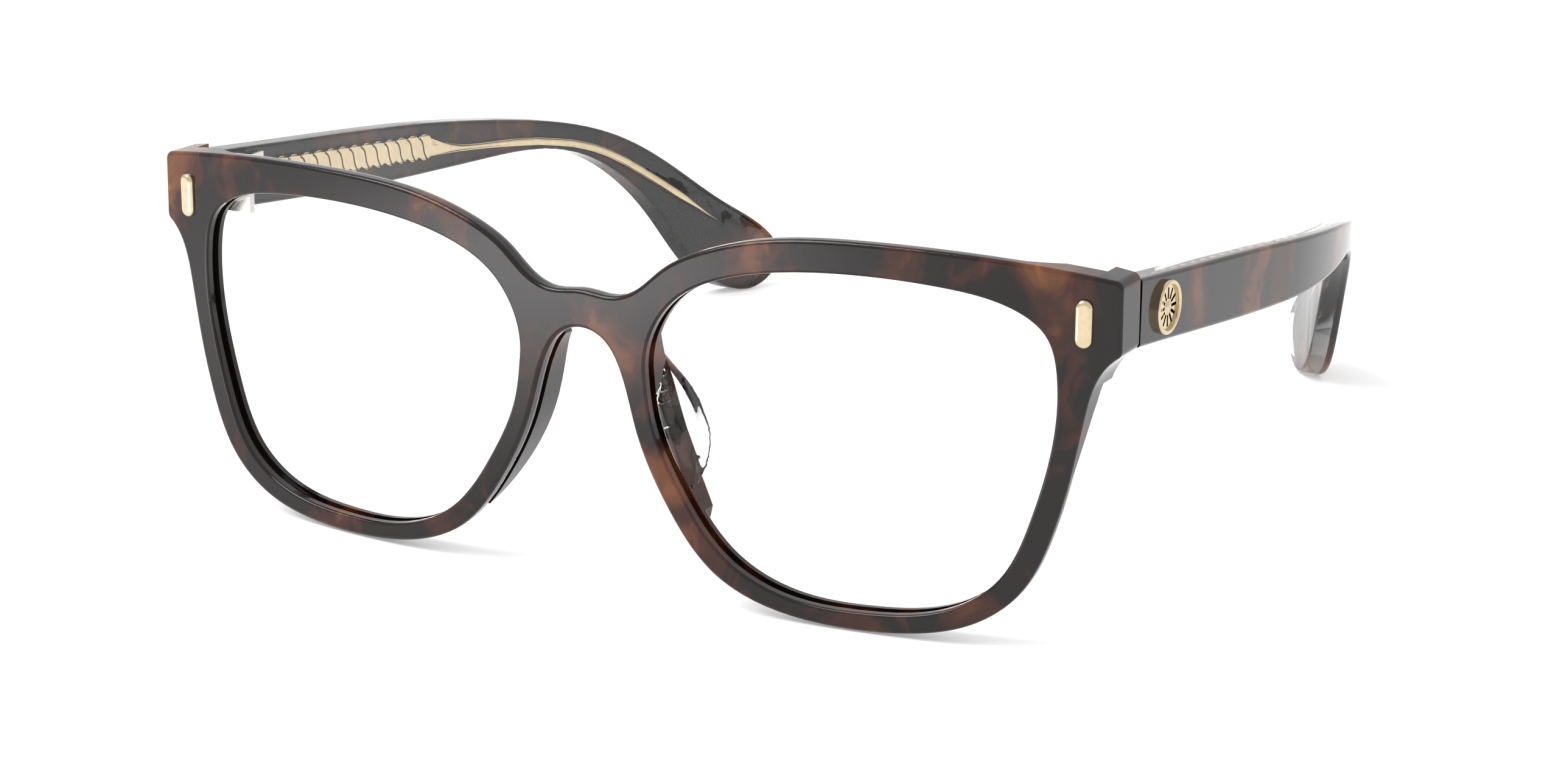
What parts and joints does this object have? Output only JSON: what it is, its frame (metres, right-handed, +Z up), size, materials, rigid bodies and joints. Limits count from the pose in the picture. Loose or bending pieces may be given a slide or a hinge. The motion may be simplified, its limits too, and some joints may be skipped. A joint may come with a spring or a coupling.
{
  "type": "eyeglasses frame",
  "caption": "Spectacle frame: tortoiseshell-pattern front with clear nose pads and folding laminated temples on metal cores.",
  "frame": {"origin": "on the ground under the middle of the frame's box, with the frame standing on its rims and temple tips", "axes": "+X to the wearer's left, +Y from the front towards the ears, +Z up"},
  "size_m": [0.1432, 0.1368, 0.0493],
  "materials": {
    "patterned_acetate": "polished tortoiseshell-pattern acetate",
    "clear_acetate": "polished clear acetate",
    "gilt_metal": "polished pale gold",
    "hinge_metal": "satin nickel"
  },
  "bodies": {
    "front": {"front_frame": "patterned_acetate", "nose_pad_left": "clear_acetate", "nose_pad_right": "clear_acetate", "front_pin_left": "gilt_metal", "front_pin_right": "gilt_metal", "front_hinge_leaf_left": "hinge_metal", "front_hinge_leaf_right": "hinge_metal"},
    "left_temple": {"temple_hinge_leaf_left": "hinge_metal", "hinge_screw_left": "hinge_metal", "temple_outer_left": "patterned_acetate", "temple_inner_left": "clear_acetate", "core_wire_left": "gilt_metal", "badge_ring_left": "gilt_metal", "badge_disc_left": "gilt_metal"},
    "right_temple": {"temple_hinge_leaf_right": "hinge_metal", "hinge_screw_right": "hinge_metal", "temple_outer_right": "patterned_acetate", "temple_inner_right": "clear_acetate", "core_wire_right": "gilt_metal", "badge_ring_right": "gilt_metal", "badge_disc_right": "gilt_metal"}
  },
  "joints": [
    {"name": "left_temple_fold", "type": "hinge", "parent": "front", "child": "left_temple", "pos_m": [0.0644, -0.0552, 0.04203], "axis": [0, 0.0201, 0.9998], "range_deg": [0, 81]},
    {"name": "right_temple_fold", "type": "hinge", "parent": "front", "child": "right_temple", "pos_m": [-0.0644, -0.0552, 0.04203], "axis": [0, -0.0201, -0.9998], "range_deg": [0, 72]}
  ]
}
